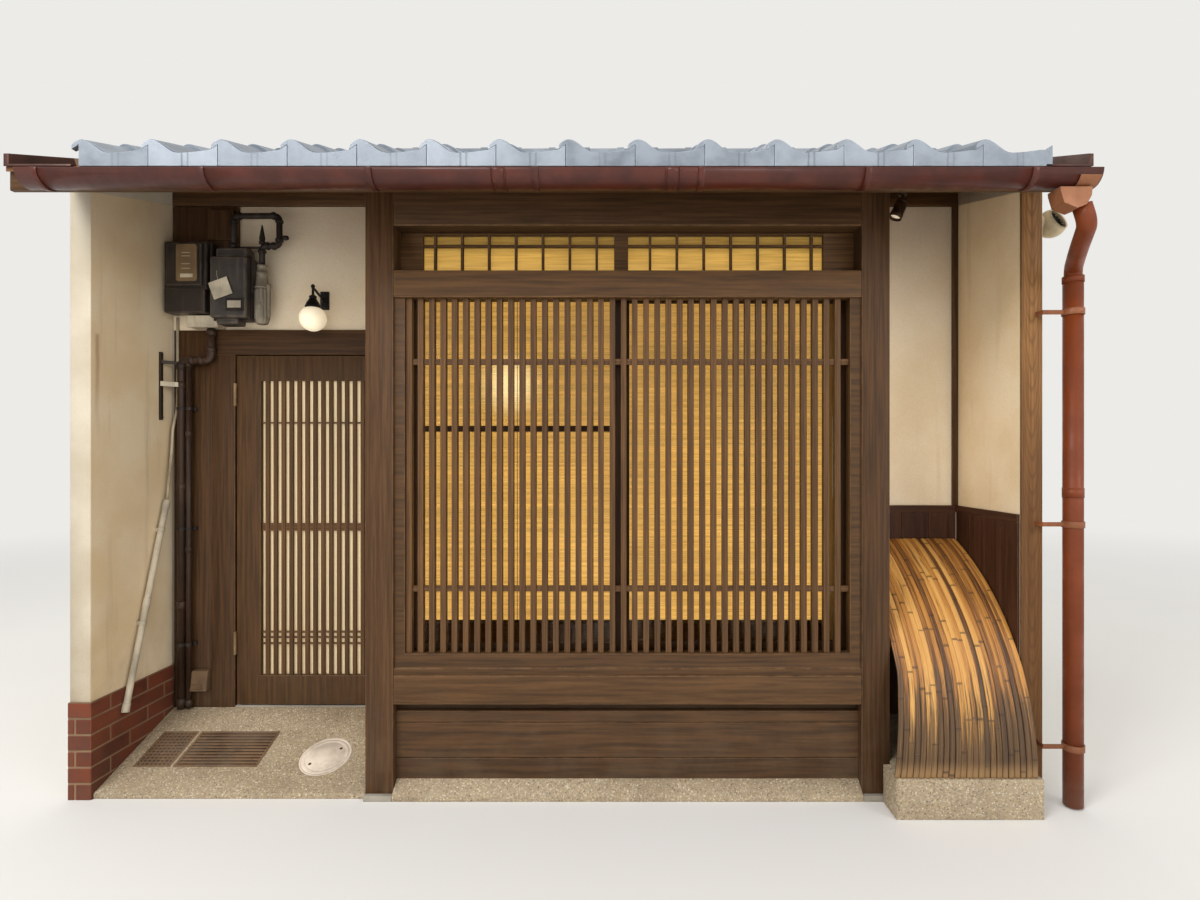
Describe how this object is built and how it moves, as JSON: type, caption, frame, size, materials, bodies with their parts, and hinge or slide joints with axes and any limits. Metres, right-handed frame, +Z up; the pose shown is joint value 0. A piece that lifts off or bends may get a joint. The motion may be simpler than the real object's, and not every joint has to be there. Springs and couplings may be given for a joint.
{
  "type": "machiya townhouse",
  "caption": "Single-storey timber row house with a latticed bay, a recessed lattice door, an arched bamboo fence and a wave-tiled gable roof.",
  "frame": {"origin": "on the ground, on the line of the bay's front posts, at the middle of the house's width", "axes": "+X to the right seen from the street, +Y into the house, +Z up"},
  "size_m": [4.287, 5.3942, 3.8757],
  "materials": {
    "timber": "oiled dark brown",
    "soffit_timber": "oiled brown",
    "plaster": "matt cream plaster",
    "brick": "unglazed dark red brick",
    "pebble": "washed pebble concrete",
    "concrete": "plain",
    "roof_tile": "smoked grey clay",
    "gutter_metal": "satin red brown",
    "pipe_metal": "satin rust brown",
    "bamboo": "aged golden brown",
    "end_board": "oiled natural brown",
    "blind": "split bamboo",
    "glass": "clear",
    "globe": "opal",
    "paper": "translucent",
    "black_metal": "satin black",
    "meter_grey": "matt brown grey",
    "gas_grey": "worn grey",
    "white_plastic": "matt",
    "hinge_metal": "dark",
    "cover_metal": "worn"
  },
  "bodies": {
    "house": {"floor_slab": "concrete", "bay_floor": "concrete", "bay_plinth": "pebble", "porch_slab": "pebble", "fence_plinth": "pebble", "post_stones": "concrete", "party_walls": "plaster", "brick_dado": "brick", "wall_end_post": "end_board", "wall_posts": "timber", "plaster_walls": "plaster", "back_window_frame": "timber", "recess_boards": "timber", "wall_beams": "timber", "bay_posts": "timber", "bay_board_panel": "timber", "bay_beams": "timber", "lattice_frame": "timber", "lattice_bars": "timber", "window_rails": "timber", "window_sashes": "timber", "window_glass": "glass", "bamboo_blinds": "blind", "transom_frame": "timber", "rafters": "soffit_timber", "ridge_beam": "soffit_timber", "roof_boards": "soffit_timber", "eave_boards": "timber", "roof_tiles": "roof_tile", "ridge_tiles": "roof_tile", "roof_flashings": "gutter_metal", "gutters": "gutter_metal", "gutter_straps": "gutter_metal", "downpipes": "pipe_metal", "pipe_bands": "pipe_metal", "fence_slats": "bamboo", "fence_rails": "soffit_timber", "wall_lamp": "black_metal", "lamp_globe": "globe", "spotlight": "black_metal", "electric_meter": "meter_grey", "gas_meter": "gas_grey", "gas_pipes": "gas_grey", "cable_conduit": "white_plastic", "outlet_box": "white_plastic", "vent_hood": "white_plastic", "drain_covers": "cover_metal", "door_side_board": "timber", "door_posts": "timber", "door_head": "timber", "door_threshold": "concrete", "frame_hinges": "hinge_metal"},
    "front_door": {"door_leaf": "timber", "door_lattice": "timber", "door_panel": "paper", "door_fittings": "hinge_metal"}
  },
  "joints": [
    {"name": "front_door_hinge", "type": "hinge", "parent": "house", "child": "front_door", "pos_m": [-1.663, 0.492, 1.09], "axis": [0, 0, -1], "range_deg": [0, 95]}
  ]
}
